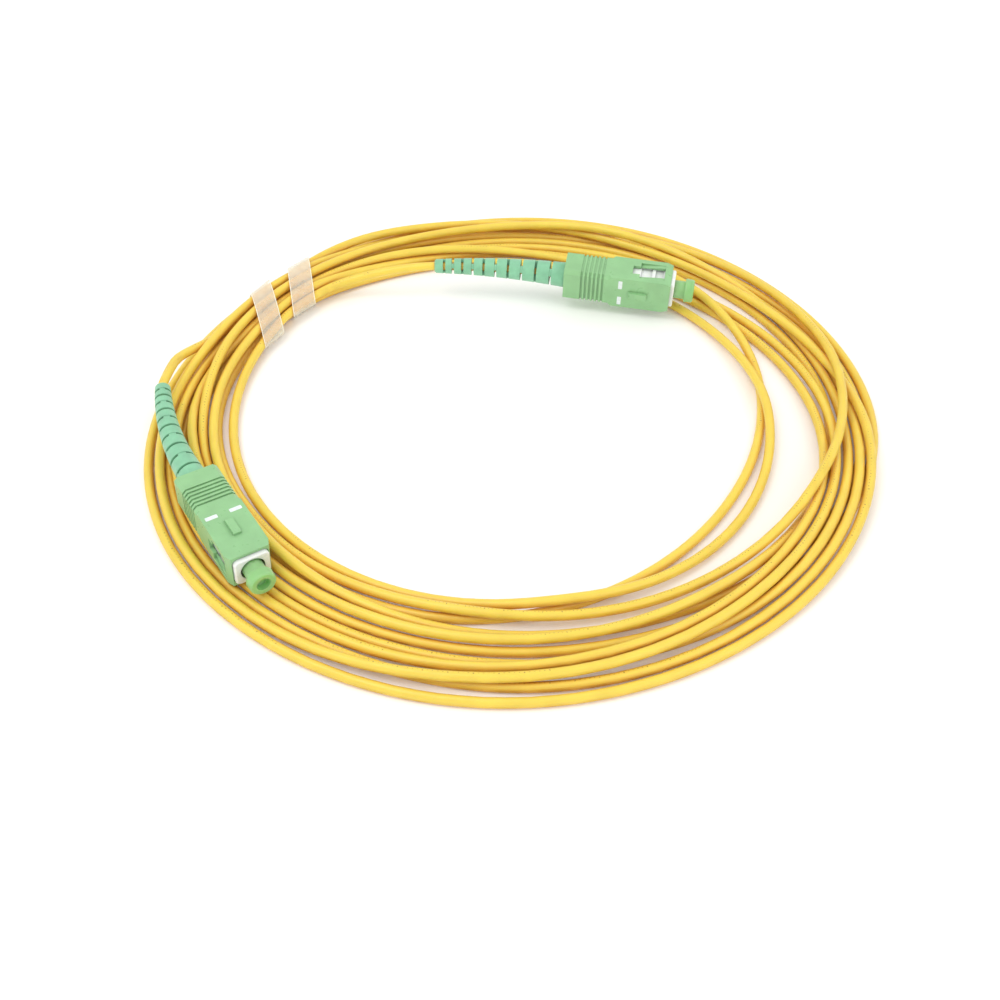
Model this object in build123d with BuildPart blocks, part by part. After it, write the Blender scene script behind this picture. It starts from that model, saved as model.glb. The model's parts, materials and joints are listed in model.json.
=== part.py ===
from build123d import *
import os
from math import atan2, cos, degrees, hypot, radians, sin

import numpy as np

# A simplex fibre optic patch cord, 2.0 mm yellow jacket, with a green angle-polished push-pull
# plug at each end.  The cord is coiled flat into eleven and a bit turns, held by two film bands.
# Millimetres, +Z up.  The origin is the centre of the coil on the surface it lies on.

os.makedirs("parts", exist_ok=True)

# ---------------------------------------------------------------- driving dimensions

CORD_D = 2.0              # jacket outside
JACKET_BORE_D = 1.30
YARN_D = 1.26             # aramid layer outside
YARN_BORE_D = 0.94
BUFFER_D = 0.90           # tight buffer
FIBRE_D = 0.25            # coated fibre
GLASS_D = 0.125           # bare glass in the ferrule

GRIP_WIDE = 9.0           # across the two window faces
GRIP_HIGH = 7.4           # key face to the opposite face
GRIP_LONG = 25.2          # front face to rear face
GRIP_TRAVEL = 1.8         # how far the grip is pulled back to release the plug

FRAME_WIDE = 7.2
FRAME_HIGH = 6.0
FRAME_PROUD = 0.85        # how far the white frame stands in front of the grip

FERRULE_D = 2.5
FERRULE_LONG = 10.5
FERRULE_TIP = 2.35        # tip, in front of the grip's front face
FERRULE_TRAVEL = 1.0
POLISH_ANGLE = 8          # degrees, angled end face

BOOT_LONG = 31.5          # what shows behind the grip
BOOT_ROOT_D = 5.9
BOOT_TIP_D = 3.3

CAP_BARREL_D = 4.2
CAP_HEAD_D = 5.5

RUNNING_GAP = 0.10        # between sliding plastic faces
SNUG_GAP = 0.05           # between pieces that fit inside each other


# ---------------------------------------------------------------- where the two plugs lie
# A plug's own frame: +X out of the ferrule, +Z out of the key face, origin in the middle of the
# grip's front face.

def plug_plane(origin, heading, pitch, roll):
    """The plane whose local frame is the plug's own frame."""
    turned = Location(origin) * Rotation(Z=heading) * Rotation(Y=-pitch) * Rotation(X=roll)
    return Plane(turned)


PLUG_A = plug_plane((-51.0, -50.2, 6.4), heading=-57.4, pitch=-2.6, roll=-1.5)
PLUG_B = plug_plane((36.2, 38.7, 7.4), heading=-10.4, pitch=-1.7, roll=99.6)
PLUGS = {"a": PLUG_A, "b": PLUG_B}
BOOT_ROLL = {"a": 0, "b": 45}             # how the slot rows are turned about the cord
BOOT_BEND = {"a": 22, "b": 11}            # degrees that the cord's pull has bent each boot
BEND_TOWARDS = {"a": Vector(0, 1, 0), "b": Vector(0, 0, 1)}     # in the plug's own frame


def hand_in(piece, node):
    """Label one finished piece and write it as its own STEP file."""
    piece.label = node
    export_step(piece, f"parts/{node}.step")


def hand_in_pair(piece, name):
    """Write one plug piece twice, at plug a and at plug b."""
    for letter, plane in PLUGS.items():
        hand_in(plane.location * piece, f"{name}_{letter}")


def turned_profile(*points):
    """A closed outline of (along the plug, radius) points, ready to be revolved about X."""
    with BuildLine() as outline:
        Polyline(*points, close=True)
    return make_face(outline.line)


# ---------------------------------------------------------------- grip housing (green)

GRIP_REAR = -GRIP_LONG
GRIP_SLOPE_REAR = -14.4       # the chamfered grip ends here and runs out to the sharp edges
GRIP_SLOPE_FRONT = -13.75
GRIP_CHAMFER = 0.75
RIB_GROOVES = 6
RIB_PITCH = 1.0
RIB_GROOVE_WIDE = 0.5
RIB_FIRST = GRIP_REAR + 4.0
CAVITY_REAR = -13.5           # the shoulder that the plug frame's rear end meets
WINDOW_FRONT = -1.7
WINDOW_REAR = -7.5
WINDOW_HIGH = 5.0
SLOT_REAR = -9.2              # the narrow slot behind the window
SLOT_HIGH = 2.6
FACET_ALONG = 1.45            # front corner facets
FACET_ACROSS = 0.65
KEY_FRONT = -5.3
KEY_REAR = -9.9
KEY_WIDE = 1.6
KEY_HIGH = 0.75
LUG_LONG = 0.8                # the frame's stop lugs
LUG_HIGH = 0.4
LUG_WIDE = 1.6
LUG_FRONT = -12.4

with BuildPart() as grip_housing:
    with BuildSketch(Plane.YZ.offset(GRIP_SLOPE_FRONT)):
        Rectangle(GRIP_WIDE, GRIP_HIGH)
    extrude(amount=-GRIP_SLOPE_FRONT)
    with BuildSketch(Plane.YZ.offset(GRIP_REAR)) as rear_section:
        Rectangle(GRIP_WIDE, GRIP_HIGH)
        chamfer(rear_section.vertices(), GRIP_CHAMFER)
    extrude(amount=GRIP_SLOPE_REAR - GRIP_REAR)
    with BuildSketch(Plane.YZ.offset(GRIP_SLOPE_REAR)) as slope_start:
        Rectangle(GRIP_WIDE, GRIP_HIGH)
        chamfer(slope_start.vertices(), GRIP_CHAMFER)
    with BuildSketch(Plane.YZ.offset(GRIP_SLOPE_FRONT)) as slope_end:
        Rectangle(GRIP_WIDE, GRIP_HIGH)
        chamfer(slope_end.vertices(), 0.05)
    loft()
    # finger ribs, deep on the two wide faces and shallow on the window faces
    for groove in range(RIB_GROOVES):
        with BuildSketch(Plane.YZ.offset(RIB_FIRST + groove * RIB_PITCH)):
            Rectangle(GRIP_WIDE + 1, GRIP_HIGH + 1)
            with BuildSketch(mode=Mode.PRIVATE) as groove_floor:
                Rectangle(GRIP_WIDE - 0.3, GRIP_HIGH - 0.6)
                chamfer(groove_floor.vertices(), GRIP_CHAMFER)
            add(groove_floor.sketch, mode=Mode.SUBTRACT)
        extrude(amount=RIB_GROOVE_WIDE, mode=Mode.SUBTRACT)
    # front cavity for the plug frame, round bore behind it for the boot
    with BuildSketch(Plane.YZ.offset(CAVITY_REAR)):
        RectangleRounded(FRAME_WIDE + 2 * RUNNING_GAP, FRAME_HIGH + 2 * RUNNING_GAP, 1.1)
    extrude(amount=-CAVITY_REAR, mode=Mode.SUBTRACT)
    with BuildSketch(Plane.YZ.offset(GRIP_REAR)):
        Circle(BOOT_ROOT_D / 2 + 0.15)
    extrude(amount=GRIP_LONG + CAVITY_REAR, mode=Mode.SUBTRACT)
    # one window through each narrow face, with a narrower slot behind it
    with BuildSketch(Plane.XZ.offset(-GRIP_WIDE)):
        with Locations(((WINDOW_FRONT + WINDOW_REAR) / 2, 0)):
            Rectangle(WINDOW_FRONT - WINDOW_REAR, WINDOW_HIGH)
        with Locations(((WINDOW_REAR + SLOT_REAR) / 2, 0)):
            Rectangle(WINDOW_REAR - SLOT_REAR + 0.1, SLOT_HIGH)
    extrude(amount=2 * GRIP_WIDE, mode=Mode.SUBTRACT)
    # latch-lifting ramps along both long edges of each window
    for side in (-1, 1):
        for edge in (-1, 1):
            with BuildSketch(Plane.XY.offset(edge * WINDOW_HIGH / 2)):
                with BuildLine():
                    Polyline(
                        (WINDOW_REAR - 0.2, side * 3.72),
                        (WINDOW_FRONT + 0.2, side * 3.72),
                        (WINDOW_FRONT + 0.2, side * 4.40),
                        (WINDOW_FRONT - 1.2, side * 4.40),
                        (WINDOW_REAR - 0.2, side * 3.90),
                        close=True,
                    )
                make_face()
            extrude(amount=-edge * 0.9)
    # key, with a sloped tail
    with BuildSketch(Plane.XZ.offset(-KEY_WIDE / 2)):
        with BuildLine():
            Polyline(
                (KEY_FRONT, GRIP_HIGH / 2 - 0.1),
                (KEY_FRONT, GRIP_HIGH / 2 + KEY_HIGH - 0.25),
                (KEY_FRONT - 0.35, GRIP_HIGH / 2 + KEY_HIGH),
                (KEY_REAR + 0.7, GRIP_HIGH / 2 + KEY_HIGH),
                (KEY_REAR, GRIP_HIGH / 2 - 0.1),
                close=True,
            )
        make_face()
    extrude(amount=KEY_WIDE)
    # stop-lug pockets inside the narrow walls: their length sets the grip's travel
    with BuildSketch(Plane.XZ.offset(-FRAME_WIDE / 2 - LUG_HIGH - 0.1)):
        with Locations((LUG_FRONT - LUG_LONG / 2 + GRIP_TRAVEL / 2, 0)):
            Rectangle(LUG_LONG + GRIP_TRAVEL + 2 * RUNNING_GAP, LUG_WIDE + 2 * RUNNING_GAP)
    extrude(amount=FRAME_WIDE + 2 * LUG_HIGH + 0.2, mode=Mode.SUBTRACT)
    # facets on the two upright front corners
    with BuildSketch(Plane.XY.offset(-GRIP_HIGH)):
        for side in (-1, 1):
            with BuildLine():
                Polyline(
                    (0.1, side * (GRIP_WIDE / 2 - FACET_ACROSS)),
                    (0, side * (GRIP_WIDE / 2 - FACET_ACROSS)),
                    (-FACET_ALONG, side * GRIP_WIDE / 2),
                    (-FACET_ALONG, side * (GRIP_WIDE / 2 + 0.1)),
                    (0.1, side * (GRIP_WIDE / 2 + 0.1)),
                    close=True,
                )
            make_face()
    extrude(amount=2 * GRIP_HIGH, mode=Mode.SUBTRACT)

hand_in_pair(grip_housing.part, "grip_housing")

# ---------------------------------------------------------------- plug frame (white)

FRAME_REAR = -13.4
FRONT_BORE_D = 5.0
SHOULDER_FRONT = -4.7         # inner shoulder that stops the ferrule flange
SHOULDER_REAR = -5.4
SHOULDER_BORE_D = 2.9
REAR_BORE_D = 4.8
LATCH_DEEP = 0.55

with BuildPart() as plug_frame:
    with BuildSketch(Plane.YZ.offset(FRAME_REAR)):
        RectangleRounded(FRAME_WIDE, FRAME_HIGH, 1.0)
    extrude(amount=FRAME_PROUD - FRAME_REAR)
    chamfer(plug_frame.faces().sort_by(Axis.X)[-1].edges(), 0.25)
    # latch pockets with a raised cross rib between them, seen through the grip's windows
    for side in (-1, 1):
        with BuildSketch(Plane.XZ.offset(-side * FRAME_WIDE / 2)):
            with Locations((-2.95, 0)):
                Rectangle(1.9, WINDOW_HIGH - 0.6)
            with Locations((-6.0, 0)):
                Rectangle(2.6, WINDOW_HIGH - 0.6)
        extrude(amount=side * LATCH_DEEP, mode=Mode.SUBTRACT)
        with BuildSketch(Plane.XZ.offset(-side * (FRAME_WIDE / 2 - 0.1))):
            with Locations((LUG_FRONT - LUG_LONG / 2, 0)):
                Rectangle(LUG_LONG, LUG_WIDE)
        extrude(amount=-side * (LUG_HIGH + 0.1))
    with BuildSketch(Plane.YZ.offset(SHOULDER_FRONT)):
        Circle(FRONT_BORE_D / 2)
    extrude(amount=FRAME_PROUD - SHOULDER_FRONT, mode=Mode.SUBTRACT)
    with BuildSketch(Plane.YZ.offset(SHOULDER_REAR)):
        Circle(SHOULDER_BORE_D / 2)
    extrude(amount=SHOULDER_FRONT - SHOULDER_REAR, mode=Mode.SUBTRACT)
    with BuildSketch(Plane.YZ.offset(FRAME_REAR)):
        Circle(REAR_BORE_D / 2)
    extrude(amount=SHOULDER_REAR - FRAME_REAR, mode=Mode.SUBTRACT)

hand_in_pair(plug_frame.part, "plug_frame")

# ---------------------------------------------------------------- ferrule, glass and flange

FERRULE_REAR = FERRULE_TIP - FERRULE_LONG
GLASS_HOLE_D = GLASS_D + 0.005
TIP_CONE_LONG = 0.6
TIP_CONE_D = 1.7

with BuildPart() as ferrule:
    with BuildSketch(Plane.XZ):
        add(turned_profile(
            (FERRULE_REAR + 1.2, GLASS_HOLE_D / 2),
            (FERRULE_REAR, 0.45),
            (FERRULE_REAR, FERRULE_D / 2 - 0.15),
            (FERRULE_REAR + 0.15, FERRULE_D / 2),
            (FERRULE_TIP - TIP_CONE_LONG, FERRULE_D / 2),
            (FERRULE_TIP, TIP_CONE_D / 2),
            (FERRULE_TIP, GLASS_HOLE_D / 2),
        ))
    revolve(axis=Axis.X)
    tilt = radians(POLISH_ANGLE)
    polish = Plane((FERRULE_TIP - 0.12, 0, 0), z_dir=(cos(tilt), 0, sin(tilt)))
    split(bisect_by=polish, keep=Keep.BOTTOM)

hand_in_pair(ferrule.part, "ferrule")

with BuildPart() as fibre_stub:
    with BuildSketch(Plane.YZ.offset(FERRULE_REAR)):
        Circle(GLASS_D / 2)
    extrude(amount=FERRULE_LONG)
    split(bisect_by=polish, keep=Keep.BOTTOM)

hand_in_pair(fibre_stub.part, "fibre_stub")

FLANGE_FRONT = SHOULDER_REAR - SNUG_GAP
FLANGE_REAR = -7.4
TAIL_REAR = -12.0
TAIL_D = 3.0

with BuildPart() as ferrule_flange:
    with BuildSketch(Plane.XZ):
        add(turned_profile(
            (FLANGE_FRONT, FERRULE_D / 2 + 0.01),
            (FLANGE_FRONT, REAR_BORE_D / 2 - RUNNING_GAP),
            (FLANGE_REAR, REAR_BORE_D / 2 - RUNNING_GAP),
            (FLANGE_REAR, TAIL_D / 2),
            (TAIL_REAR, TAIL_D / 2),
            (TAIL_REAR, BUFFER_D / 2 + SNUG_GAP),
            (FERRULE_REAR - 0.02, BUFFER_D / 2 + SNUG_GAP),
            (FERRULE_REAR - 0.02, FERRULE_D / 2 + 0.01),
        ))
    revolve(axis=Axis.X)
    # two key notches in the collar
    with BuildSketch(Plane.YZ.offset(FLANGE_REAR)):
        with Locations((0, REAR_BORE_D / 2), (0, -REAR_BORE_D / 2)):
            Rectangle(0.9, 1.0)
    extrude(amount=FLANGE_FRONT - FLANGE_REAR, mode=Mode.SUBTRACT)

hand_in_pair(ferrule_flange.part, "ferrule_flange")

# ---------------------------------------------------------------- spring and back post

WIRE_D = 0.45
SPRING_R = 1.88
SPRING_FRONT = FLANGE_REAR - 0.03
SPRING_REAR = -11.9
SPRING_COILS = 5

with BuildPart() as ferrule_spring:
    spring_height = SPRING_FRONT - SPRING_REAR - WIRE_D
    spring_start = Location((SPRING_REAR + WIRE_D / 2, 0, 0)) * Rotation(Y=90)
    wire_path = spring_start * Helix(spring_height / SPRING_COILS, spring_height, SPRING_R)
    with BuildSketch(Plane(origin=wire_path @ 0, z_dir=wire_path % 0)):
        Circle(WIRE_D / 2)
    sweep(path=wire_path, is_frenet=True)

hand_in_pair(ferrule_spring.part, "ferrule_spring")

POST_COLLAR_D = 5.6
POST_TUBE_D = 3.9
POST_TUBE_REAR = -24.6
POST_BORE_D = 1.8

with BuildPart() as back_post:
    with BuildSketch(Plane.XZ):
        add(turned_profile(
            (SPRING_REAR - SNUG_GAP, TAIL_D / 2 + RUNNING_GAP),
            (SPRING_REAR - SNUG_GAP, REAR_BORE_D / 2 - 0.02),
            (FRAME_REAR - 0.02, REAR_BORE_D / 2 - 0.02),
            (FRAME_REAR - 0.02, POST_COLLAR_D / 2),
            (FRAME_REAR - 1.2, POST_COLLAR_D / 2),
            (FRAME_REAR - 1.2, POST_TUBE_D / 2),
            (POST_TUBE_REAR, POST_TUBE_D / 2),
            (POST_TUBE_REAR, POST_BORE_D / 2),
            (FRAME_REAR - 0.4, POST_BORE_D / 2),
            (FRAME_REAR - 0.4, TAIL_D / 2 + RUNNING_GAP),
        ))
    revolve(axis=Axis.X)
    # crimp grooves round the tube
    for groove in range(7):
        with BuildSketch(Plane.YZ.offset(-23.6 + 0.8 * groove)):
            Circle(POST_TUBE_D / 2 + 0.2)
            Circle(POST_TUBE_D / 2 - 0.12, mode=Mode.SUBTRACT)
        extrude(amount=0.35, mode=Mode.SUBTRACT)

hand_in_pair(back_post.part, "back_post")

# ---------------------------------------------------------------- crimp sleeve

SLEEVE_FRONT = -17.6
SLEEVE_REAR = -24.9
SLEEVE_D = 4.8
YARN_SHEATH_D = POST_TUBE_D + 0.28    # aramid folded back over the post
NECK_FRONT = -26.0
NECK_REAR = -27.6
NECK_D = 2.9

with BuildPart() as crimp_sleeve:
    with BuildSketch(Plane.XZ):
        add(turned_profile(
            (SLEEVE_FRONT, YARN_SHEATH_D / 2 + 0.02),
            (SLEEVE_FRONT, SLEEVE_D / 2),
            (SLEEVE_REAR, SLEEVE_D / 2),
            (NECK_FRONT - 0.2, NECK_D / 2),
            (NECK_REAR, NECK_D / 2),
            (NECK_REAR, CORD_D / 2 + SNUG_GAP),
            (NECK_FRONT, CORD_D / 2 + SNUG_GAP),
            (SLEEVE_REAR, YARN_SHEATH_D / 2 + 0.02),
        ))
    revolve(axis=Axis.X)

hand_in_pair(crimp_sleeve.part, "crimp_sleeve")

# ---------------------------------------------------------------- boot (blue-green rubber)
# The boot is straight as far as the crimp sleeve and bends with the cord behind it.  It is a row
# of rings joined by pairs of webs; the gaps beside the webs are the slots the cord shows through.

BOOT_FRONT = -18.8
BEND_START = NECK_REAR - 0.4
BOOT_TIP = GRIP_REAR - BOOT_LONG
BOOT_BORE_R = CORD_D / 2 + SNUG_GAP + 0.02
SLOT_WIDE = 0.6
SLOT_FIRST = 2.3              # first slot row, from the tip
SLOT_STEP = 2.1               # spacing at the tip; the rows spread as the boot thickens
SLOT_SPREAD = 0.19
SLOT_ROWS = 10
WEB_LAP = 0.15                # how far a web runs into the ring at each end


def boot_radius(x):
    """Outside radius where the boot shows, a straight taper from the grip to the tip."""
    return (BOOT_TIP_D + (BOOT_ROOT_D - BOOT_TIP_D) * (x - BOOT_TIP) / BOOT_LONG) / 2


def bend(letter, x):
    """Carries the slice at x of a straight boot to where the bent boot has it."""
    curved = BEND_START - BOOT_TIP
    centre = Vector(BEND_START, 0, 0) + BEND_TOWARDS[letter] * (curved / radians(BOOT_BEND[letter]))
    turn = BOOT_BEND[letter] * (BEND_START - x) / curved
    swing = Rotation(Z=-turn) if letter == "a" else Rotation(Y=turn)
    return Location(centre) * swing * Location(-centre) * Location((BEND_START - x, 0, 0))


def cord_plane(letter, x):
    """Section across the cord at x, in its plug's own frame, facing away from the plug."""
    return Plane(bend(letter, x) * Plane(origin=(x, 0, 0), z_dir=(-1, 0, 0)).location)


def ring(front, rear, lip=0.02):
    """One straight ring of the boot, its rear edge chamfered by the lip."""
    with BuildPart() as slice_of_boot:
        with BuildSketch(Plane.XZ):
            add(turned_profile(
                (front, BOOT_BORE_R),
                (front, boot_radius(front)),
                (rear + lip, boot_radius(rear)),
                (rear, boot_radius(rear) - lip),
                (rear, BOOT_BORE_R),
            ))
        revolve(axis=Axis.X)
    return slice_of_boot.part


def webs(front, rear, roll):
    """The pair of webs across one slot row."""
    outer_r = boot_radius(rear) - 0.08
    with BuildPart() as slice_of_boot:
        with BuildSketch(Plane.YZ.offset(rear - WEB_LAP)):
            Circle(outer_r)
            Circle(BOOT_BORE_R + 0.06, mode=Mode.SUBTRACT)
            Rectangle(0.66 * outer_r, 3 * outer_r, rotation=roll, mode=Mode.INTERSECT)
        extrude(amount=front - rear + 2 * WEB_LAP)
    return slice_of_boot.part


def build_boot(letter):
    """One boot, in its plug's frame."""
    slots = [
        BOOT_TIP + SLOT_FIRST + row * (SLOT_STEP + SLOT_SPREAD * (row - 1) / 2)
        for row in range(SLOT_ROWS)
    ]
    with BuildPart() as boot:
        with BuildSketch(Plane.XZ):
            add(turned_profile(
                (BOOT_FRONT, SLEEVE_D / 2 + SNUG_GAP),
                (BOOT_FRONT, BOOT_ROOT_D / 2 - 0.1),
                (GRIP_REAR, BOOT_ROOT_D / 2),
                (slots[-1] + SLOT_WIDE / 2, boot_radius(slots[-1] + SLOT_WIDE / 2)),
                (slots[-1] + SLOT_WIDE / 2, BOOT_BORE_R),
                (NECK_REAR - 0.2, BOOT_BORE_R),
                (NECK_REAR - 0.2, NECK_D / 2 + SNUG_GAP),
                (NECK_FRONT - 0.3, NECK_D / 2 + SNUG_GAP),
                (SLEEVE_REAR - 0.1, SLEEVE_D / 2 + SNUG_GAP),
            ))
        revolve(axis=Axis.X)
        for row, slot in enumerate(slots):
            front, rear = slot + SLOT_WIDE / 2, slot - SLOT_WIDE / 2
            roll = 90 * (row % 2) + BOOT_ROLL[letter]
            add(bend(letter, slot) * webs(front, rear, roll))
        for slot, behind in zip(slots[1:], slots[:-1]):
            front, rear = slot - SLOT_WIDE / 2, behind + SLOT_WIDE / 2
            add(bend(letter, (front + rear) / 2) * ring(front, rear))
        add(bend(letter, slots[0]) * ring(slots[0] - SLOT_WIDE / 2, BOOT_TIP, lip=0.35))
    return boot.part


for letter, plane in PLUGS.items():
    hand_in(plane.location * build_boot(letter), f"boot_{letter}")

# ---------------------------------------------------------------- dust cap (translucent green)

CAP_INNER_END = SHOULDER_FRONT + FERRULE_TRAVEL + 0.2   # clear of the shoulder when pushed back
CAP_NECK_END = FRAME_PROUD + 2.5
CAP_END = CAP_NECK_END + 2.1
CAP_BORE_END = FERRULE_TIP + 0.35
CAP_RECESS_D = 2.9
CAP_RECESS_DEEP = 1.5

with BuildPart() as dust_cap:
    with BuildSketch(Plane.XZ):
        add(turned_profile(
            (CAP_INNER_END, FERRULE_D / 2 + SNUG_GAP),
            (CAP_INNER_END, CAP_BARREL_D / 2 - 0.2),
            (CAP_INNER_END + 0.4, CAP_BARREL_D / 2),
            (CAP_NECK_END, CAP_BARREL_D / 2),
            (CAP_NECK_END, CAP_HEAD_D / 2 - 0.1),
            (CAP_NECK_END + 0.2, CAP_HEAD_D / 2),
            (CAP_END - 0.3, CAP_HEAD_D / 2 - 0.1),
            (CAP_END, CAP_HEAD_D / 2 - 0.35),
            (CAP_END, CAP_RECESS_D / 2),
            (CAP_END - CAP_RECESS_DEEP, CAP_RECESS_D / 2),
            (CAP_END - CAP_RECESS_DEEP, 0),
            (CAP_BORE_END, 0),
            (CAP_BORE_END, FERRULE_D / 2 + SNUG_GAP),
        ))
    revolve(axis=Axis.X)

hand_in_pair(dust_cap.part, "dust_cap")

# ---------------------------------------------------------------- how the cord is coiled
# The cord runs anticlockwise from plug b to plug a.  Each turn starts under the bands, at 150
# degrees, and states its distance from the coil's centre every 30 degrees, then the layer it
# lies in there (0 on the surface, 1 on top of other strands, 2 on top of those).

TURN_START = 150
STATION_STEP = 30
HELD_BEFORE = 19              # degrees before and after each turn's start over which the bands
HELD_AFTER = 7                # hold the strands side by side
FIRST_HELD_BEFORE = 11        # the strand from plug b joins them later
TURNS = (
    ((64.2, 62.8, 60.2, 57.4, 56.5, 56.4, 54.4, 53.7, 53.9, 56.0, 60.5, 61.6), "100011010000"),
    ((65.6, 69.4, 62.6, 60.8, 59.4, 59.2, 64.4, 70.5, 75.5, 76.8, 76.6, 74.1), "000011133000"),
    ((71.8, 80.0, 76.1, 76.9, 74.4, 70.1, 68.9, 68.2, 63.6, 60.5, 64.5, 63.6), "200111110000"),
    ((66.5, 72.2, 63.7, 64.9, 62.5, 62.4, 68.5, 77.0, 74.2, 72.7, 74.3, 72.0), "111100000000"),
    ((71.7, 77.9, 74.0, 74.5, 76.3, 72.9, 73.9, 72.8, 72.0, 70.6, 72.0, 69.9), "000000100000"),
    ((70.7, 76.8, 71.9, 72.1, 72.0, 68.1, 66.5, 65.8, 59.7, 58.2, 61.5, 66.0), "110011100011"),
    ((68.6, 74.4, 65.6, 67.6, 65.8, 64.2, 64.6, 68.6, 68.4, 68.2, 69.2, 67.8), "111111000000"),
    ((69.7, 75.8, 69.8, 69.7, 70.4, 70.8, 70.8, 71.4, 71.0, 70.6, 71.4, 69.3), "000000100111"),
    ((69.7, 71.5, 64.9, 63.2, 58.6, 51.8, 48.7, 52.0, 59.4, 63.3, 68.0, 65.7), "200000001110"),
    ((67.6, 73.7, 67.7, 67.4, 66.2, 65.8, 73.6, 79.0, 76.4, 79.6, 78.8, 76.2), "000000000000"),
    ((73.8, 82.5, 78.2, 80.0, 78.9, 75.2, 76.6, 74.9, 66.9, 67.6, 74.8, 73.0), "000000111111"),
)
LAST_START = (72.9, 1.15)        # the last, part turn, where it leaves the bands for plug a

LAYER_RISE = 1.85
SAMPLE_STEP = 3               # degrees between the samples of the settled cord
PER_TURN = 360 // SAMPLE_STEP
TOUCH = CORD_D + 0.34         # closest that two centre lines may come while settling
SETTLE_STEPS = 1400
RELAXING_STEPS = 600          # of them, those in which the strands still move freely
PINNED = 11                   # samples at each end that hang from a boot and don't settle
FILM = 0.15                   # band film thickness
BAND_ANGLES = {"right": 139.0, "left": 149.3}
BAND_HEADINGS = {"right": 11, "left": 18}       # degrees from +X that each band's axis points
BAND_WIDE = 7.0
BAND_ROOM = 0.2               # left round each strand, which crosses the band a little askew
BAND_LIFT = BAND_ROOM + FILM + 0.1            # the film under the bundle raises it this much
LEAD = 1.5                    # straight cord behind each boot
FREE_RUN = {"a": (1.5, 0.1), "b": (6.0, 0.6)}  # how far it then holds its course, and its sag


def layer_height(layer):
    """Centre height of a strand in a layer."""
    return CORD_D / 2 + LAYER_RISE * layer


def polar(point):
    """(angle in degrees, distance from the coil's axis, height) of a point."""
    return degrees(atan2(point.Y, point.X)) % 360, hypot(point.X, point.Y), point.Z


CORD_AT_TIP = {
    letter: Plane(plane.location * cord_plane(letter, BOOT_TIP).location)
    for letter, plane in PLUGS.items()
}
CORD_END = {letter: section.origin + section.z_dir * LEAD for letter, section in CORD_AT_TIP.items()}
START_ANGLE, START_R, START_Z = polar(CORD_END["b"])
END_ANGLE, END_R, END_Z = polar(CORD_END["a"])
END_ANGLE += 360 * len(TURNS)


def held(angle, distance, height, before):
    """The knots that keep a strand level through the bands."""
    return [(angle + shift, distance, height + BAND_LIFT) for shift in (-before, 0, HELD_AFTER)]


free_end = {
    letter: CORD_END[letter] + CORD_AT_TIP[letter].z_dir * run - Vector(0, 0, drop)
    for letter, (run, drop) in FREE_RUN.items()
}
knots = [(START_ANGLE, START_R, START_Z), polar(free_end["b"])]
for turn, (distances, layers) in enumerate(TURNS):
    for station, (distance, layer) in enumerate(zip(distances, layers)):
        angle = TURN_START + 360 * turn + STATION_STEP * station
        place = (distance, layer_height(int(layer)))
        if station == 0:
            knots += held(angle, *place, HELD_BEFORE if turn else FIRST_HELD_BEFORE)
        else:
            knots.append((angle, *place))
last_distance, last_layer = LAST_START
knots += held(TURN_START + 360 * len(TURNS), last_distance, layer_height(last_layer), HELD_BEFORE)
near_angle, near_r, near_z = polar(free_end["a"])
knots.append((near_angle + 360 * len(TURNS), near_r, near_z))
knots.append((END_ANGLE, END_R, END_Z))


def smooth_through(knots, angles):
    """Distance and height at each angle, from a smooth curve through the knots."""
    spot, distance, height = np.array(knots).T
    curves = []
    for values in (distance, height):
        slope = np.gradient(values, spot)
        level = np.flatnonzero(np.diff(values) == 0)
        slope[level] = slope[level + 1] = 0     # level between two knots that agree
        cell = np.clip(np.searchsorted(spot, angles) - 1, 0, len(spot) - 2)
        width = spot[cell + 1] - spot[cell]
        t = (angles - spot[cell]) / width
        curves.append(
            (2 * t**3 - 3 * t**2 + 1) * values[cell]
            + (t**3 - 2 * t**2 + t) * width * slope[cell]
            + (3 * t**2 - 2 * t**3) * values[cell + 1]
            + (t**3 - t**2) * width * slope[cell + 1]
        )
    return np.array(curves)


def lowest_and_highest(angles, distance):
    """Floor and ceiling for the cord's centre: bands lift it, a plug above presses it down."""
    low = np.full(len(angles), CORD_D / 2)
    high = np.full(len(angles), 99.0)
    for band in BAND_ANGLES.values():
        low[abs((angles - band + 180) % 360 - 180) < 9] = CORD_D / 2 + BAND_LIFT
    x = distance * np.cos(np.radians(angles))
    y = distance * np.sin(np.radians(angles))
    for plane in PLUGS.values():
        across = plane.x_dir.cross(Vector(0, 0, 1)).normalized()
        along = (x - plane.origin.X) * plane.x_dir.X + (y - plane.origin.Y) * plane.x_dir.Y
        aside = (x - plane.origin.X) * across.X + (y - plane.origin.Y) * across.Y
        grip_high = abs(plane.y_dir.Z) * GRIP_WIDE / 2 + abs(plane.z_dir.Z) * GRIP_HIGH / 2
        grip_wide = abs(plane.y_dir.Z) * GRIP_HIGH / 2 + abs(plane.z_dir.Z) * GRIP_WIDE / 2
        half_high = np.where(along < 1.5, grip_high, CAP_HEAD_D / 2)
        half_wide = np.where(along < 1.5, grip_wide, CAP_HEAD_D / 2)
        under = (abs(aside) < half_wide + 1.3) & (along > -GRIP_LONG - 4) & (along < CAP_END + 14)
        base = plane.origin.Z + along * plane.x_dir.Z - half_high
        high[under] = (base - CORD_D / 2 - 0.1)[under]
    return low, np.maximum(high, low)


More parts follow.
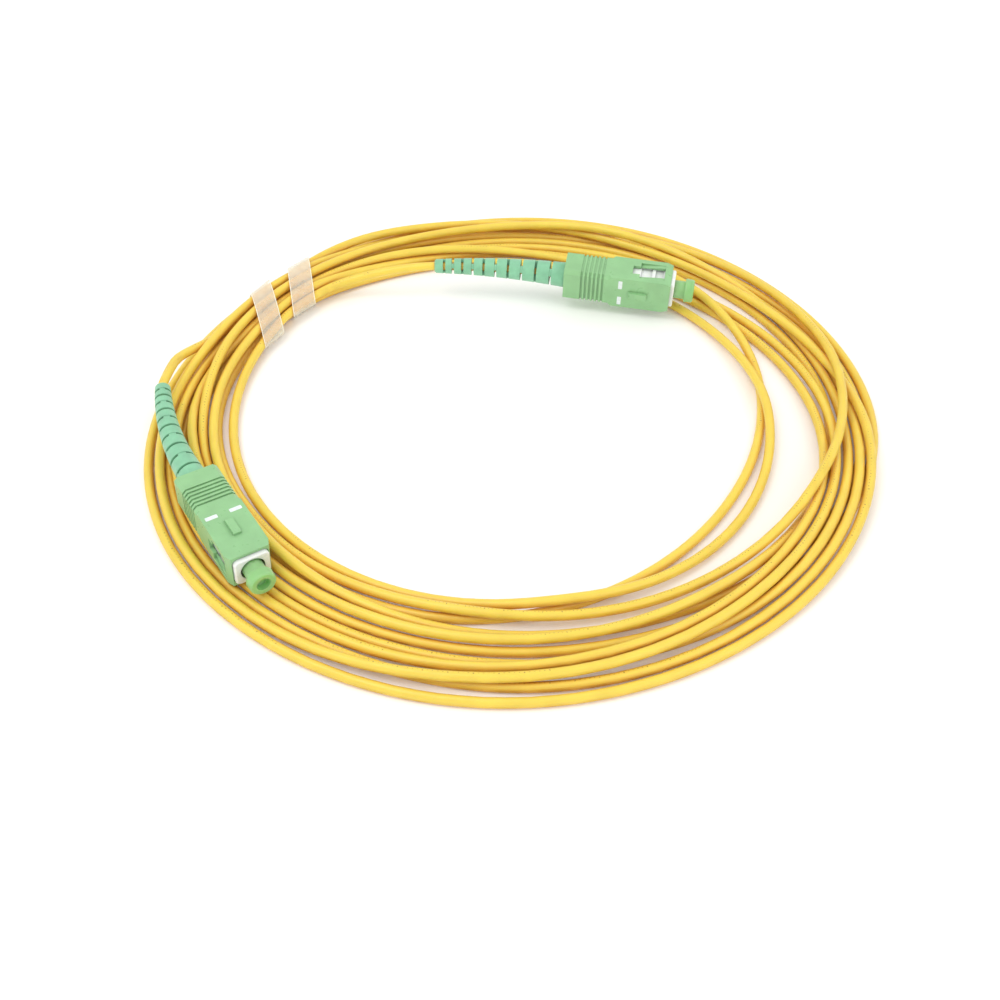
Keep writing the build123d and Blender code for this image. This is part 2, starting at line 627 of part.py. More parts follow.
def settle(angles, distance, height):
    """Push strands that overlap apart, keep them off the floor and the plugs, and smooth them."""
    wanted = distance.copy()
    own = np.arange(len(angles))
    free = (own > PINNED) & (own < len(angles) - PINNED)
    for step in range(SETTLE_STEPS):
        relaxing = step < RELAXING_STEPS
        for gap in range(PER_TURN, len(angles), PER_TURN):
            dr = distance[gap:] - distance[:-gap]
            dz = height[gap:] - height[:-gap]
            apart = np.hypot(dr, dz) + 1e-6
            push = np.clip(TOUCH - apart, 0, None) / apart * 0.5
            move_r = np.zeros_like(distance)
            move_z = np.zeros_like(height)
            move_r[gap:] += push * dr
            move_r[:-gap] -= push * dr
            move_z[gap:] += push * dz
            move_z[:-gap] -= push * dz
            distance = distance + np.where(free, move_r, 0) * 0.6
            height = height + np.where(free, move_z, 0) * 0.6
        ease = 0.25 if relaxing else 0.03
        for values in (distance, height):
            bend = values[:-2] + values[2:] - 2 * values[1:-1]
            values[1:-1] += np.where(free[1:-1], ease * bend, 0)
        if relaxing:
            distance = distance + np.where(free, 0.03 * (wanted - distance), 0)
            height = height - np.where(free, 0.02, 0)
        low, high = lowest_and_highest(angles, distance)
        height = np.where(free, np.clip(height, low, high), height)
    return distance, height


SAMPLES = int((END_ANGLE - START_ANGLE) / SAMPLE_STEP)
angles = START_ANGLE + SAMPLE_STEP * np.arange(SAMPLES)
distance, height = smooth_through(knots, angles)
distance, height = settle(angles, distance, height)
cord_points = [
    Vector(r * cos(radians(a)), r * sin(radians(a)), z) for a, r, z in zip(angles, distance, height)
]

# ---------------------------------------------------------------- the cord's four layers
# Each layer is lofted through round sections set across the cord, all along its length.

KEEP_EVERY = 2                # samples between the sections
LEAD_SAMPLES = 12             # samples at each end that all get a section, for the tighter bends
BOOT_SECTIONS = 8


def cord_middle(end_x):
    """Points along the cord's middle: out of plug b from end_x, round the coil, into plug a."""
    inside = {}
    for letter, plane in PLUGS.items():
        straight = [Vector(x, 0, 0) for x in np.linspace(end_x, BEND_START, 6)]
        curved = [
            cord_plane(letter, x).origin for x in np.linspace(BEND_START, BOOT_TIP, BOOT_SECTIONS)
        ]
        inside[letter] = [plane.from_local_coords(point) for point in straight + curved[1:]]
    leaving = cord_points[:LEAD_SAMPLES]
    coiled = cord_points[LEAD_SAMPLES:-LEAD_SAMPLES:KEEP_EVERY]
    arriving = cord_points[-LEAD_SAMPLES:-1]
    return inside["b"] + leaving + coiled + arriving + [CORD_END["a"]] + inside["a"][::-1]


def cord_solid(radius, end_x):
    """A round bar along the cord from end_x in plug b to end_x in plug a."""
    middle = cord_middle(end_x)
    with BuildPart() as bar:
        for before, here, after in zip([middle[0]] + middle, middle, middle[1:] + [middle[-1]]):
            along = (after - before).normalized()
            with BuildSketch(Plane(origin=here, x_dir=along.cross(Vector(0, 0, 1)), z_dir=along)):
                Circle(radius)
        loft(ruled=True, clean=False)
    return bar.part


JACKET_END = NECK_FRONT
YARN_END = -25.5
BUFFER_END = FERRULE_REAR - FERRULE_TRAVEL - 0.25       # leaves room for the ferrule to move back
FIBRE_END = BUFFER_END + 0.1
SHEATH_FRONT = -18.0
CUT_PAST = 0.1                # a bore is cut this far past the end of its layer

with BuildPart() as cable_jacket:
    add(cord_solid(CORD_D / 2, JACKET_END))
    add(cord_solid(JACKET_BORE_D / 2, JACKET_END + CUT_PAST), mode=Mode.SUBTRACT, clean=False)

hand_in(cable_jacket.part, "cable_jacket")

# The aramid yarn runs under the jacket, flares out at each end and folds back over the post.
with BuildPart() as yarn_flare:
    with BuildSketch(Plane.XZ):
        add(turned_profile(
            (YARN_END, YARN_BORE_D / 2),
            (YARN_END, YARN_D / 2),
            (SLEEVE_REAR + 0.1, YARN_SHEATH_D / 2),
            (SHEATH_FRONT, YARN_SHEATH_D / 2),
            (SHEATH_FRONT, POST_TUBE_D / 2 + 0.02),
            (POST_TUBE_REAR - 0.05, POST_TUBE_D / 2 + 0.02),
            (YARN_END + 0.1, YARN_BORE_D / 2),
        ))
    revolve(axis=Axis.X)

with BuildPart() as aramid_yarn:
    add(cord_solid(YARN_D / 2, YARN_END))
    add(cord_solid(YARN_BORE_D / 2, YARN_END + CUT_PAST), mode=Mode.SUBTRACT, clean=False)
    for plane in PLUGS.values():
        add(plane.location * yarn_flare.part, clean=False)

hand_in(aramid_yarn.part, "aramid_yarn")

with BuildPart() as tight_buffer:
    add(cord_solid(BUFFER_D / 2, BUFFER_END))
    add(cord_solid(FIBRE_D / 2 + 0.02, BUFFER_END + CUT_PAST), mode=Mode.SUBTRACT, clean=False)

hand_in(tight_buffer.part, "tight_buffer")

hand_in(cord_solid(FIBRE_D / 2, FIBRE_END), "coated_fibre")

# ---------------------------------------------------------------- the two wrap bands (clear film)
# Each band hugs the strands where they cross it.  Its edges lie askew to the strands, so the
# loop is drawn on a plane across the band's axis and drawn out along the strands.  It is the
# hull of the strands where they cross both ends of the band.

BAND_SLACK = 0.08             # more room, for strands that bow out between the band's two ends
LOOP_R = CORD_D / 2 + BAND_ROOM + BAND_SLACK
BUNDLE_R = 69.5               # middle of the bundle, from the coil's centre
BUNDLE_REACH = 25             # no strand of the bundle is further than this from its middle


def strand_crossings(plane):
    """Where the cord passes through a plane close to its origin, in that plane's coordinates."""
    crossings = []
    local = [plane.to_local_coords(point) for point in cord_points]
    for here, ahead in zip(local[:-1], local[1:]):
        if here.Z * ahead.Z <= 0 and hypot(here.X, here.Y) < BUNDLE_REACH:
            share = here.Z / (here.Z - ahead.Z)
            crossings.append(here + (ahead - here) * share)
    return crossings


for side, angle in BAND_ANGLES.items():
    middle = Vector(BUNDLE_R * cos(radians(angle)), BUNDLE_R * sin(radians(angle)), CORD_D)
    heading = radians(BAND_HEADINGS[side])
    strands = Vector(sin(radians(angle)), -cos(radians(angle)), 0)
    start, end = (
        Plane(
            origin=middle + strands * along,
            x_dir=(-sin(heading), cos(heading), 0),
            z_dir=(cos(heading), sin(heading), 0),
        )
        for along in (-BAND_WIDE / 2, BAND_WIDE / 2)
    )
    askew = strands.dot(start.z_dir)
    crossings = strand_crossings(start) + strand_crossings(end)
    with BuildPart() as wrap_band:
        with BuildSketch(start):
            for loop_r, mode in ((LOOP_R + FILM, Mode.ADD), (LOOP_R, Mode.SUBTRACT)):
                with BuildSketch(mode=Mode.PRIVATE) as loop:
                    with Locations(*[(point.X, point.Y) for point in crossings]):
                        Ellipse(loop_r / askew, loop_r)
                    make_hull(mode=Mode.ADD)
                add(loop.sketch, mode=mode)
        extrude(amount=BAND_WIDE, dir=strands)
    hand_in(wrap_band.part, f"wrap_band_{side}")
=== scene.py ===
import json
from math import asin, atan2, cos, pi, radians, sin

import bpy
from mathutils import Matrix, Vector


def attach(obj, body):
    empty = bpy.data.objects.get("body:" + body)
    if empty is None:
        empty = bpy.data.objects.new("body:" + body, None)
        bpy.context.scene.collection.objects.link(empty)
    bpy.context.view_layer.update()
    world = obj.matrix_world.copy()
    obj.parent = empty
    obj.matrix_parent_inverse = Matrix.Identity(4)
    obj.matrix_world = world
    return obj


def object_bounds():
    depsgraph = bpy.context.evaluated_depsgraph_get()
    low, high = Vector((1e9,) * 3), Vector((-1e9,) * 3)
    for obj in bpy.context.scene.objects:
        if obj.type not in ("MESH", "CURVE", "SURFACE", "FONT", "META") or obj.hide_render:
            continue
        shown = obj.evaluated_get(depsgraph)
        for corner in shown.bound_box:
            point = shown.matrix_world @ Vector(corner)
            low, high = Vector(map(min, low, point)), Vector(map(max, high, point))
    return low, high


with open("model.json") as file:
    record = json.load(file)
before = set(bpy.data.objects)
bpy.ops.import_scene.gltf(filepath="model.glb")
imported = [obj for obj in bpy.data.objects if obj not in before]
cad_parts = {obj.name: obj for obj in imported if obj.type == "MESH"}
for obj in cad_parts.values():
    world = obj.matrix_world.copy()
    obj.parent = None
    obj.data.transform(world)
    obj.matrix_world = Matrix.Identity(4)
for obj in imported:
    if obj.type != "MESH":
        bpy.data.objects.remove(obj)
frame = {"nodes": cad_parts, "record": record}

cad_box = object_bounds()
record = frame["record"]
MM = 0.001


# ---------------------------------------------------------------- node helpers

class Nodes:
    """A material under construction, with short ways to add and join its shader nodes."""

    def __init__(self, name):
        self.material = bpy.data.materials.new(name)
        self.material.use_nodes = True
        self.tree = self.material.node_tree
        self.shader = self.tree.nodes["Principled BSDF"]
        self.place = self.add("ShaderNodeTexCoord").outputs["Object"]

    def add(self, kind, **settings):
        node = self.tree.nodes.new(kind)
        for name, value in settings.items():
            setattr(node, name, value)
        return node

    def join(self, source, target):
        if isinstance(source, (int, float)):
            target.default_value = source
        elif isinstance(source, tuple):
            target.default_value = source
        else:
            self.tree.links.new(source, target)

    def math(self, operation, first, second=0.0, third=0.0):
        node = self.add("ShaderNodeMath", operation=operation)
        for value, socket in zip((first, second, third), node.inputs):
            self.join(value, socket)
        return node.outputs[0]

    def noise(self, scale, detail=3.0, place=None):
        node = self.add("ShaderNodeTexNoise")
        self.join(place or self.place, node.inputs["Vector"])
        node.inputs["Scale"].default_value = scale
        node.inputs["Detail"].default_value = detail
        return node.outputs["Fac"]

    def ramp(self, factor, *stops):
        """Colour or value ramp: stops are (position, colour)."""
        node = self.add("ShaderNodeValToRGB")
        self.join(factor, node.inputs["Fac"])
        band = node.color_ramp
        while len(band.elements) < len(stops):
            band.elements.new(0.5)
        for element, (position, colour) in zip(band.elements, stops):
            element.position = position
            element.color = colour
        return node.outputs["Color"]

    def mix(self, factor, first, second):
        """The first colour at factor 0, the second at factor 1."""
        node = self.add("ShaderNodeMix", data_type="RGBA")
        factor_socket, first_socket, second_socket = (node.inputs[i] for i in (0, 6, 7))
        self.join(factor, factor_socket)
        self.join(first, first_socket)
        self.join(second, second_socket)
        return node.outputs[2]

    def painted_shade_in_hollows(self, reach, most):
        """Painted shade: 0 on open faces, rising to most deep in corners and grooves, where shade falls."""
        node = self.add("ShaderNodeAmbientOcclusion", samples=4)
        node.inputs["Distance"].default_value = reach
        return self.math("MULTIPLY", self.math("SUBTRACT", 1.0, node.outputs["AO"]), most)

    def bump(self, height, distance, edge=0.0):
        """Surface detail from a height, with edges rounded by the edge radius."""
        node = self.add("ShaderNodeBump")
        node.inputs["Distance"].default_value = distance
        self.join(height, node.inputs["Height"])
        if edge:
            rounded = self.add("ShaderNodeBevel", samples=4)
            rounded.inputs["Radius"].default_value = edge
            self.join(rounded.outputs["Normal"], node.inputs["Normal"])
        self.join(node.outputs["Normal"], self.shader.inputs["Normal"])

    def set(self, **values):
        for name, value in values.items():
            self.join(value, self.shader.inputs[name.replace("_", " ")])


def srgb(red, green, blue):
    """A colour given as it looks on screen, 0 to 255, as linear light with full alpha."""
    linear = []
    for value in (red, green, blue):
        share = value / 255
        linear.append(share / 12.92 if share <= 0.04045 else ((share + 0.055) / 1.055) ** 2.4)
    return (*linear, 1.0)


def scaled(colour, factor):
    """The same colour, darker or lighter."""
    return tuple(min(1.0, channel * factor) for channel in colour[:3]) + (1.0,)


def grey(value):
    """A plain value as a colour."""
    return (value, value, value, 1.0)


# ---------------------------------------------------------------- materials

def moulded_plastic(name, colour, roughness=0.34, edge=0.12 * MM, glow=0.12):
    """Fine satin moulding: faint cloudy colour, orange-peel grain, rounded edges, and painted shade in
    corners and grooves.
    """
    look = Nodes(name)
    cloud = look.noise(260, 3)
    base = look.ramp(cloud, (0.3, scaled(colour, 0.93)), (0.7, scaled(colour, 1.05)))
    # painted shade: corners and grooves darken towards 0.42 of the colour
    base = look.mix(look.painted_shade_in_hollows(0.9 * MM, 0.55), base, scaled(colour, 0.42))
    grain = look.noise(5200, 2)
    gloss = look.ramp(look.noise(900, 2), (0.3, grey(roughness - 0.07)), (0.7, grey(roughness + 0.07)))
    look.set(Base_Color=base, Roughness=gloss, Subsurface_Weight=glow, IOR=1.47)
    look.shader.inputs["Subsurface Radius"].default_value = (1.0, 1.2, 0.7)
    look.shader.inputs["Subsurface Scale"].default_value = 0.8 * MM
    look.bump(grain, 0.012 * MM, edge)
    return look.material


def soft_rubber(name, colour):
    """Matt boot rubber with a dusty bloom, fine pits, and painted shade in corners and grooves."""
    look = Nodes(name)
    cloud = look.noise(420, 4)
    base = look.ramp(cloud, (0.28, scaled(colour, 0.88)), (0.72, scaled(colour, 1.08)))
    # painted shade: corners and grooves darken towards 0.35 of the colour
    base = look.mix(look.painted_shade_in_hollows(0.7 * MM, 0.7), base, scaled(colour, 0.35))
    look.set(Base_Color=base, Roughness=0.52, Sheen_Weight=0.25, Sheen_Roughness=0.5, Subsurface_Weight=0.15)
    look.shader.inputs["Subsurface Radius"].default_value = (0.8, 1.2, 1.0)
    look.shader.inputs["Subsurface Scale"].default_value = 0.7 * MM
    look.bump(look.noise(3600, 3), 0.02 * MM, 0.15 * MM)
    return look.material


def translucent_cap(name, colour):
    """Soft see-through polyethylene that glows from the light inside it."""
    look = Nodes(name)
    cloud = look.noise(300, 2)
    base = look.ramp(cloud, (0.3, scaled(colour, 0.95)), (0.7, scaled(colour, 1.06)))
    look.set(Base_Color=base, Roughness=0.3, Transmission_Weight=0.22, Subsurface_Weight=0.7, IOR=1.5)
    look.shader.inputs["Subsurface Radius"].default_value = (1.0, 1.6, 0.8)
    look.shader.inputs["Subsurface Scale"].default_value = 1.6 * MM
    look.bump(look.noise(2400, 2), 0.01 * MM, 0.2 * MM)
    return look.material


def cord_jacket(name, colour, painted_crease_shade, ink):
    """Satin extruded jacket: painted ochre shade in the creases between strands and towards each strand's
    edges, draw lines, and a faint printed scale.

    The coil's own geometry places the print: the angle round the coil runs along the cord, and
    the surface normal's part away from the coil's middle runs across it.
    """
    look = Nodes(name)
    across_axes = look.add("ShaderNodeSeparateXYZ")
    look.join(look.place, across_axes.inputs[0])
    x, y = across_axes.outputs["X"], across_axes.outputs["Y"]
    angle = look.math("ARCTAN2", y, x)
    distance = look.math("SQRT", look.math("ADD", look.math("MULTIPLY", x, x), look.math("MULTIPLY", y, y)))
    outward = look.add("ShaderNodeCombineXYZ")
    look.join(look.math("DIVIDE", x, distance), outward.inputs["X"])
    look.join(look.math("DIVIDE", y, distance), outward.inputs["Y"])
    facing = look.add("ShaderNodeNewGeometry").outputs["Normal"]
    lean = look.add("ShaderNodeVectorMath", operation="DOT_PRODUCT")
    look.join(facing, lean.inputs[0])
    look.join(outward.outputs[0], lean.inputs[1])
    side = lean.outputs["Value"]
    height = look.add("ShaderNodeSeparateXYZ")
    look.join(facing, height.inputs[0])
    upward = height.outputs["Z"]

    # a scale of short ticks with a longer one every fifth, only where the cord was printed
    ticks_per_turn = 520
    run = look.math("MULTIPLY", angle, ticks_per_turn / (2 * pi))
    tick = look.math("LESS_THAN", look.math("FRACT", run), 0.3)
    fifth = look.math("LESS_THAN", look.math("FRACT", look.math("DIVIDE", run, 5.0)), 0.2)
    reach = look.math("MULTIPLY_ADD", fifth, 0.22, 0.16)
    low = look.math("GREATER_THAN", look.math("ADD", side, 0.32), 0.0)
    high = look.math("LESS_THAN", look.math("ADD", side, 0.32), reach)
    stretches = look.add("ShaderNodeCombineXYZ")
    look.join(look.math("MULTIPLY", angle, 1.3), stretches.inputs["X"])
    look.join(look.math("MULTIPLY", distance, 330.0), stretches.inputs["Y"])
    printed = look.math("GREATER_THAN", look.noise(1.0, 1, stretches.outputs[0]), 0.56)
    worn = look.math("GREATER_THAN", look.noise(4200, 1), 0.42)
    mask = look.math("MULTIPLY", tick, look.math("MULTIPLY", low, high))
    mask = look.math("MULTIPLY", mask, look.math("MULTIPLY", printed, worn))
    mask = look.math("MULTIPLY", mask, look.math("GREATER_THAN", upward, 0.3))
    mask = look.math("MULTIPLY", mask, 0.62)

    # painted shade: ochre where strands lie close together and shade each other, and towards the edges of
    # each strand
    near = look.add("ShaderNodeAmbientOcclusion", samples=6)
    near.inputs["Distance"].default_value = 2.6 * MM
    rim = look.add("ShaderNodeLayerWeight")
    rim.inputs["Blend"].default_value = 0.35
    shade = look.ramp(near.outputs["AO"], (0.25, (1, 1, 1, 1)), (0.95, (0, 0, 0, 1)))
    cloud = look.ramp(look.noise(180, 3), (0.3, scaled(colour, 0.95)), (0.7, scaled(colour, 1.04)))
    base = look.mix(shade, cloud, painted_crease_shade)
    # painted shade: each strand darkens towards the ochre shade colour at its edges as seen
    base = look.mix(look.math("MULTIPLY", rim.outputs["Facing"], 0.35), base, painted_crease_shade)
    base = look.mix(mask, base, ink)
    stretch = look.add("ShaderNodeCombineXYZ")
    look.join(look.math("MULTIPLY", angle, 3.0), stretch.inputs["X"])
    look.join(look.math("MULTIPLY", side, 9.0), stretch.inputs["Y"])
    look.join(look.math("MULTIPLY", upward, 9.0), stretch.inputs["Z"])
    lines = look.noise(3.0, 2, stretch.outputs[0])
    gloss = look.ramp(lines, (0.3, grey(0.30)), (0.7, grey(0.42)))
    look.set(Base_Color=base, Roughness=gloss, Subsurface_Weight=0.25, IOR=1.5)
    look.shader.inputs["Subsurface Radius"].default_value = (1.0, 0.6, 0.15)
    look.shader.inputs["Subsurface Scale"].default_value = 0.6 * MM
    look.bump(look.math("ADD", look.noise(2600, 3), lines), 0.008 * MM)
    return look.material


def frosted_film(name, colour, axis, ends):
    """Clear wrap film: a milky haze, fine stretch wrinkles, and bright cut edges.

    axis points across both cut edges, and ends are how far along it they lie.
    """
    look = Nodes(name)
    along = look.add("ShaderNodeVectorMath", operation="DOT_PRODUCT")
    look.join(look.place, along.inputs[0])
    along.inputs[1].default_value = axis
    middle, half = (ends[0] + ends[1]) / 2, (ends[1] - ends[0]) / 2
    off_middle = look.math("ABSOLUTE", look.math("SUBTRACT", along.outputs["Value"], middle))
    edge = look.ramp(look.math("DIVIDE", off_middle, half), (0.90, grey(0.0)), (0.96, grey(1.0)))
    rim = look.add("ShaderNodeLayerWeight")
    rim.inputs["Blend"].default_value = 0.5
    wrinkle = look.noise(500, 4)
    haze = look.math("MULTIPLY_ADD", rim.outputs["Facing"], 0.34, 0.19)
    haze = look.math("ADD", haze, look.math("MULTIPLY", look.math("SUBTRACT", wrinkle, 0.5), 0.12))
    haze = look.math("MAXIMUM", haze, look.math("MULTIPLY", edge, 0.8))
    base = look.ramp(wrinkle, (0.3, scaled(colour, 0.97)), (0.7, scaled(colour, 1.03)))
    look.set(Base_Color=base, Roughness=0.26, Alpha=haze, IOR=1.45)
    look.bump(wrinkle, 0.02 * MM)
    return look.material


def worn_metal(name, colour, roughness):
    """Turned or drawn metal with fine scratches."""
    look = Nodes(name)
    scratches = look.noise(4000, 4)
    base = look.ramp(look.noise(500, 2), (0.3, scaled(colour, 0.9)), (0.7, scaled(colour, 1.05)))
    look.set(Base_Color=base, Metallic=1.0, Roughness=roughness)
    look.bump(scratches, 0.006 * MM, 0.05 * MM)
    return look.material


def yarn(name, colour):
    """Fine loose fibres running along the cord."""
    look = Nodes(name)
    strands = look.add("ShaderNodeTexWave", wave_type="BANDS")
    look.join(look.place, strands.inputs["Vector"])
    strands.inputs["Scale"].default_value = 900
    strands.inputs["Distortion"].default_value = 6
    base = look.ramp(strands.outputs["Fac"], (0.2, scaled(colour, 0.7)), (0.8, scaled(colour, 1.1)))
    look.set(Base_Color=base, Roughness=0.6, Sheen_Weight=0.4)
    look.bump(strands.outputs["Fac"], 0.03 * MM)
    return look.material


def clear_glass(name, colour):
    """Polished glass fibre."""
    look = Nodes(name)
    base = look.ramp(look.noise(800, 2), (0.3, scaled(colour, 0.96)), (0.7, colour))
    look.set(Base_Color=base, Roughness=0.05, Transmission_Weight=0.8, IOR=1.46)
    look.bump(look.noise(5000, 1), 0.002 * MM)
    return look.material


GRIP_GREEN = srgb(146, 196, 142)
BOOT_GREEN = srgb(132, 196, 158)
CAP_GREEN = srgb(160, 214, 146)

looks = {
    "grip_housing": moulded_plastic("grip_green", GRIP_GREEN),
    "plug_frame": moulded_plastic("frame_white", srgb(238, 242, 240), roughness=0.25),
    "ferrule": moulded_plastic("zirconia", srgb(244, 240, 232), roughness=0.12, edge=0.04 * MM),
    "fibre_stub": clear_glass("fibre_glass", srgb(225, 238, 244)),
    "ferrule_flange": worn_metal("flange_metal", srgb(205, 206, 210), 0.2),
    "ferrule_spring": worn_metal("spring_steel", srgb(180, 180, 184), 0.3),
    "back_post": moulded_plastic("post_white", srgb(226, 230, 226), roughness=0.4),
    "crimp_sleeve": worn_metal("sleeve_metal", srgb(206, 206, 200), 0.35),
    "boot": soft_rubber("boot_green", BOOT_GREEN),
    "dust_cap": translucent_cap("cap_green", CAP_GREEN),
    # jacket colours: the cord's yellow, the ochre painted shade for creases and strand edges, and the print
    # ink
    "cable_jacket": cord_jacket("jacket_yellow", srgb(240, 212, 84), srgb(230, 176, 72), srgb(140, 100, 52)),
    "aramid_yarn": yarn("aramid", srgb(222, 200, 110)),
    "tight_buffer": moulded_plastic("buffer_white", srgb(238, 238, 232), roughness=0.3),
    "coated_fibre": clear_glass("fibre_coating", srgb(215, 230, 240)),
}

FILM_COLOUR = srgb(253, 251, 234)
BAND_HEADINGS = {"wrap_band_right": 11, "wrap_band_left": 18}      # degrees that each band faces


SMOOTH_BELOW = radians(32)                # edges that bend less than this are shaded smooth
WELD = 0.002 * MM


def edge_smoothing():
    """A geometry node group that shades gentle edges smooth and keeps the sharp ones."""
    group = bpy.data.node_groups.new("edge_smoothing", "GeometryNodeTree")
    group.interface.new_socket("Geometry", in_out="INPUT", socket_type="NodeSocketGeometry")
    group.interface.new_socket("Geometry", in_out="OUTPUT", socket_type="NodeSocketGeometry")
    start = group.nodes.new("NodeGroupInput")
    end = group.nodes.new("NodeGroupOutput")
    plain = group.nodes.new("GeometryNodeRemoveAttribute")
    plain.inputs["Name"].default_value = "custom_normal"
    faces = group.nodes.new("GeometryNodeSetShadeSmooth")
    edges = group.nodes.new("GeometryNodeSetShadeSmooth")
    edges.domain = "EDGE"
    angle = group.nodes.new("GeometryNodeInputMeshEdgeAngle")
    gentle = group.nodes.new("FunctionNodeCompare")
    gentle.operation = "LESS_THAN"
    gentle.inputs[1].default_value = SMOOTH_BELOW
    group.links.new(angle.outputs["Unsigned Angle"], gentle.inputs[0])
    group.links.new(gentle.outputs[0], edges.inputs["Shade Smooth"])
    group.links.new(start.outputs[0], plain.inputs["Geometry"])
    group.links.new(plain.outputs[0], faces.inputs["Geometry"])
    group.links.new(faces.outputs[0], edges.inputs["Geometry"])
    group.links.new(edges.outputs[0], end.inputs[0])
    return group


def refine(piece, levels, simple=False):
    """Split every face, and round the surface unless simple."""
    divide = piece.modifiers.new("divide", "SUBSURF")
    divide.subdivision_type = "SIMPLE" if simple else "CATMULL_CLARK"
    divide.levels = levels
    divide.render_levels = levels


def crinkle(piece):
    """Pull the band's film out here and there, as stretched film does between strands."""
    folds = bpy.data.textures.new("film_folds", "CLOUDS")
    folds.noise_scale = 2.6 * MM
    folds.noise_depth = 2
    push = piece.modifiers.new("folds", "DISPLACE")
    push.texture = folds
    push.texture_coords = "LOCAL"
    push.mid_level = 0.35
    push.strength = 0.08 * MM


def film_for(piece, heading):
    """The film of one band, told where the band's two cut edges are."""
    axis = Vector((cos(heading), sin(heading), 0))
    along = [vertex.co.dot(axis) for vertex in piece.data.vertices]
    return frosted_film(f"band_film_{piece.name}", FILM_COLOUR, axis, (min(along), max(along)))


def dress_cad_nodes():
    """Give every CAD node its material and smooth shading; round the cord and crinkle the film."""
    smoothing = edge_smoothing()
    longest_first = sorted(looks, key=len, reverse=True)
    for node, piece in frame["nodes"].items():
        if node in BAND_HEADINGS:
            look = film_for(piece, radians(BAND_HEADINGS[node]))
        else:
            look = next(looks[name] for name in longest_first if node.startswith(name))
        piece.data.materials.clear()
        piece.data.materials.append(look)
        weld = piece.modifiers.new("weld", "WELD")
        weld.merge_threshold = WELD
        if node == "cable_jacket":
            refine(piece, 1)
        if node in BAND_HEADINGS:
            refine(piece, 4, simple=True)
            crinkle(piece)
        shade = piece.modifiers.new("smoothing", "NODES")
        shade.node_group = smoothing


dress_cad_nodes()


# ---------------------------------------------------------------- marks on the plugs
# Two short white bars are printed across the key face, one by each long edge.

PLUG_ROLL = {"a": -1.5, "b": 99.6}        # degrees that each plug is turned about its own axis
GRIP_WIDE = 9.0 * MM
GRIP_HIGH = 7.4 * MM
MARK_BEHIND_FRONT = 11.7 * MM
MARK_ALONG = 0.95 * MM
MARK_ACROSS = 2.5 * MM
MARK_FROM_EDGE = 0.75 * MM
MARK_PROUD = 0.02 * MM


def plug_frame(letter):
    """Matrix from a plug's own frame (+X out of the ferrule, +Z out of the key face) to the row's."""
    mount = next(m for m in record["mounts"] if m["name"] == f"adapter_end_{letter}")
    axis = Vector(mount["axis"])
    heading = Matrix.Rotation(atan2(axis.y, axis.x), 4, "Z")
    pitch = Matrix.Rotation(-asin(axis.z), 4, "Y")
    roll = Matrix.Rotation(radians(PLUG_ROLL[letter]), 4, "X")
    return Matrix.Translation(mount["pos_m"]) @ heading @ pitch @ roll


def printed_bar(name, along, across):
    """A thin ink bar with rounded corners and a slightly crowned face."""
    corner = 0.16 * MM
    rim = []
    for quarter in range(4):
        sign_x = 1 if quarter in (0, 3) else -1
        sign_y = 1 if quarter < 2 else -1
        for step in range(5):
            turn = radians(90 * quarter + 22.5 * step)
            rim.append((
                sign_x * (along / 2 - corner) + corner * cos(turn),
                sign_y * (across / 2 - corner) + corner * sin(turn),
            ))
    count = len(rim)
    points = [(x, y, -MARK_PROUD) for x, y in rim]
    points += [(x, y, MARK_PROUD * 0.6) for x, y in rim]
    points += [(x * 0.9, y * 0.96, MARK_PROUD) for x, y in rim]
    faces = [tuple(range(count))[::-1], tuple(range(2 * count, 3 * count))]
    for ring in (0, count):
        for i in range(count):
            j = (i + 1) % count
            faces.append((ring + i, ring + j, ring + count + j, ring + count + i))
    mesh = bpy.data.meshes.new(name)
    mesh.from_pydata(points, [], faces)
    bar = bpy.data.objects.new(name, mesh)
    bpy.context.scene.collection.objects.link(bar)
    return bar


def add_marks(letter, ink):
    """Both bars on one plug."""
    for side, word in ((-1, "right"), (1, "left")):
        bar = printed_bar(f"mark_{word}_{letter}", MARK_ALONG, MARK_ACROSS)
        across = side * (GRIP_WIDE / 2 - MARK_FROM_EDGE - MARK_ACROSS / 2)
        spot = Matrix.Translation((-MARK_BEHIND_FRONT, across, GRIP_HIGH / 2))
        bar.matrix_world = plug_frame(letter) @ spot
        bar.data.materials.append(ink)
        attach(bar, f"grip_{letter}")


def mark_ink():
    """White pad-printing ink, a little uneven."""
    look = Nodes("mark_ink")
    thin = look.ramp(look.noise(1500, 3), (0.3, srgb(214, 228, 228)), (0.7, srgb(240, 246, 246)))
    look.set(Base_Color=thin, Roughness=0.4)
    look.bump(look.noise(4000, 2), 0.01 * MM)
    return look.material


ink = mark_ink()
for letter in ("a", "b"):
    add_marks(letter, ink)


# ---------------------------------------------------------------- floor, light and camera

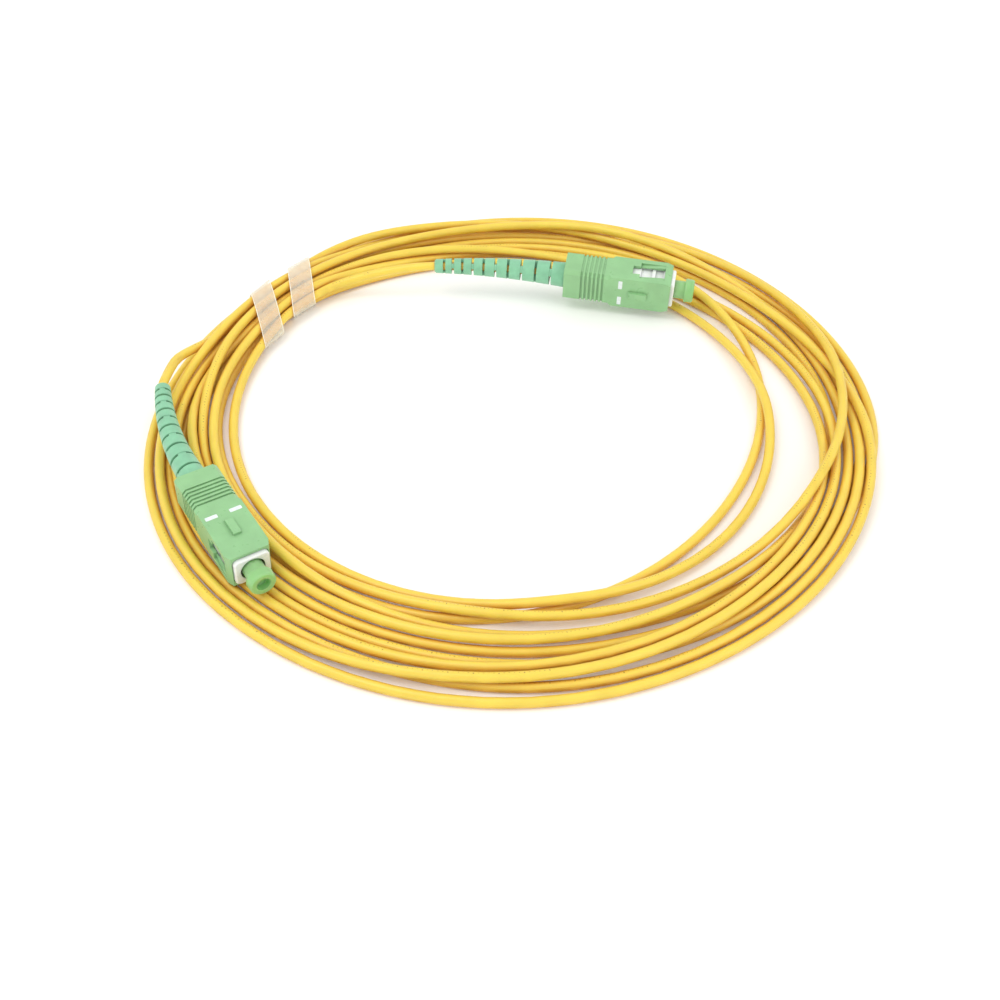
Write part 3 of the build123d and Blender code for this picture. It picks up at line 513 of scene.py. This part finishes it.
def pale_floor():
    """A wide white sweep."""
    mesh = bpy.data.meshes.new("floor")
    wide = 4.0
    corners = [(-wide, -wide, 0), (wide, -wide, 0), (wide, wide, 0), (-wide, wide, 0)]
    mesh.from_pydata(corners, [], [(0, 1, 2, 3)])
    floor = bpy.data.objects.new("floor", mesh)
    bpy.context.scene.collection.objects.link(floor)
    floor.location.z = cad_box[0][2] - 0.02 * MM
    look = Nodes("paper")
    base = look.ramp(look.noise(3, 2), (0.3, (0.93, 0.93, 0.93, 1)), (0.7, (0.95, 0.95, 0.95, 1)))
    look.set(Base_Color=base, Roughness=0.9, Emission_Color=base, Emission_Strength=0.06)
    floor.data.materials.append(look.material)


def soft_light(name, position, size, power, colour):
    """A square area light that faces the coil."""
    lamp = bpy.data.lights.new(name, "AREA")
    lamp.size = size
    lamp.energy = power
    lamp.color = colour
    holder = bpy.data.objects.new(name, lamp)
    bpy.context.scene.collection.objects.link(holder)
    holder.location = position
    holder.rotation_euler = (-Vector(position)).to_track_quat("-Z", "Y").to_euler()


def light_room():
    """High-key studio light: bright white surroundings and two big soft boxes."""
    world = bpy.data.worlds.new("studio")
    world.use_nodes = True
    back = world.node_tree.nodes["Background"]
    back.inputs["Color"].default_value = (1.0, 0.99, 0.975, 1)
    back.inputs["Strength"].default_value = 0.92
    bpy.context.scene.world = world
    bpy.context.scene.view_settings.view_transform = "Standard"
    soft_light("key", (-0.25, -0.1, 0.6), 0.35, 1.2, (1.0, 0.98, 0.94))
    soft_light("fill", (0.5, -0.35, 0.45), 0.5, 0.8, (1.0, 0.99, 0.97))


def aim_camera():
    """Looks along +Y and 44 degrees down, a little to the left of and nearer than the coil's middle."""
    elevation = radians(44)
    reach = 266.7 * MM
    target = Vector((-4.2 * MM, -25.8 * MM, 0))
    away = Vector((0, -cos(elevation), sin(elevation)))
    camera = bpy.data.cameras.new("camera")
    camera.lens = 46.8
    camera.sensor_width = 36
    camera.clip_start = 0.01
    holder = bpy.data.objects.new("camera", camera)
    bpy.context.scene.collection.objects.link(holder)
    holder.location = target + away * reach
    holder.rotation_euler = (radians(90) - elevation, 0, 0)
    bpy.context.scene.camera = holder


pale_floor()
light_room()
aim_camera()
